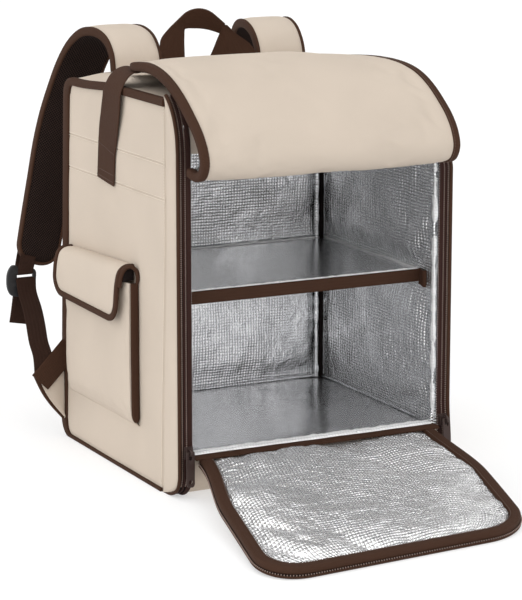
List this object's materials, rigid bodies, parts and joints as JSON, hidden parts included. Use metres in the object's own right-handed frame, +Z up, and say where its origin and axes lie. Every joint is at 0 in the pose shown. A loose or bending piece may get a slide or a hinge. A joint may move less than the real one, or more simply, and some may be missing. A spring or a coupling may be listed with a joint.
{
  "type": "insulated delivery backpack",
  "caption": "Box-shaped insulated delivery backpack standing open, with a let-down front door, a lid, an inner shelf, foil lining and shoulder straps.",
  "frame": {"origin": "middle of the base, on the floor", "axes": "+Z up, -Y out of the front opening, +X to the right of someone facing the opening"},
  "size_m": [0.4514, 0.7288, 0.519],
  "materials": {
    "canvas": "matte woven cloth over foam",
    "brown_tape": "woven tape",
    "foil": "embossed foil on foam",
    "mesh_cloth": "spacer mesh",
    "plastic": "satin moulded",
    "zip_metal": "satin paint"
  },
  "bodies": {
    "bag": {"anchor_wing_left": "canvas", "anchor_wing_right": "canvas", "back_panel": "canvas", "base_panel": "canvas", "corner_strip_left": "brown_tape", "corner_strip_right": "brown_tape", "door_binding": "brown_tape", "door_hinge": "brown_tape", "door_lining": "foil", "door_shell": "canvas", "door_zip": "brown_tape", "front_gusset_left": "canvas", "front_gusset_right": "canvas", "front_piping_left": "brown_tape", "front_piping_right": "brown_tape", "front_sill": "canvas", "grab_strap": "brown_tape", "ladder_buckle_left": "plastic", "ladder_buckle_right": "plastic", "lid_binding_left": "brown_tape", "lid_binding_right": "brown_tape", "lid_lining": "foil", "lid_shell": "canvas", "lining_back": "foil", "lining_ceiling": "foil", "lining_floor": "foil", "lining_side_left": "foil", "lining_side_right": "foil", "pocket_flap": "canvas", "pocket_flap_binding": "brown_tape", "pocket_gusset": "brown_tape", "pocket_pouch": "canvas", "shelf_binding": "brown_tape", "shelf_board": "foil", "shelf_tab_left": "brown_tape", "shelf_tab_right": "brown_tape", "side_binding_left": "brown_tape", "side_binding_right": "brown_tape", "side_panel_left": "canvas", "side_panel_right": "canvas", "strap_binding_left": "brown_tape", "strap_binding_right": "brown_tape", "strap_mesh_left": "mesh_cloth", "strap_mesh_right": "mesh_cloth", "strap_pad_left": "canvas", "strap_pad_right": "canvas", "strap_tab_left": "brown_tape", "strap_tab_right": "brown_tape", "strap_webbing_left": "brown_tape", "strap_webbing_right": "brown_tape", "top_handle": "brown_tape", "top_panel": "canvas", "zip_slider_left": "zip_metal", "zip_slider_right": "zip_metal", "zip_tape_left": "brown_tape", "zip_tape_right": "brown_tape"},
    "pull_left": {"zip_pull_left": "zip_metal"},
    "pull_right": {"zip_pull_right": "zip_metal"}
  },
  "joints": [
    {"name": "left_pull_swing", "type": "hinge", "parent": "bag", "child": "pull_left", "pos_m": [-0.167, -0.166, 0.057], "axis": [-1, 0, 0], "range_deg": [0, 165]},
    {"name": "right_pull_swing", "type": "hinge", "parent": "bag", "child": "pull_right", "pos_m": [0.167, -0.166, 0.057], "axis": [-1, 0, 0], "range_deg": [0, 165]}
  ]
}
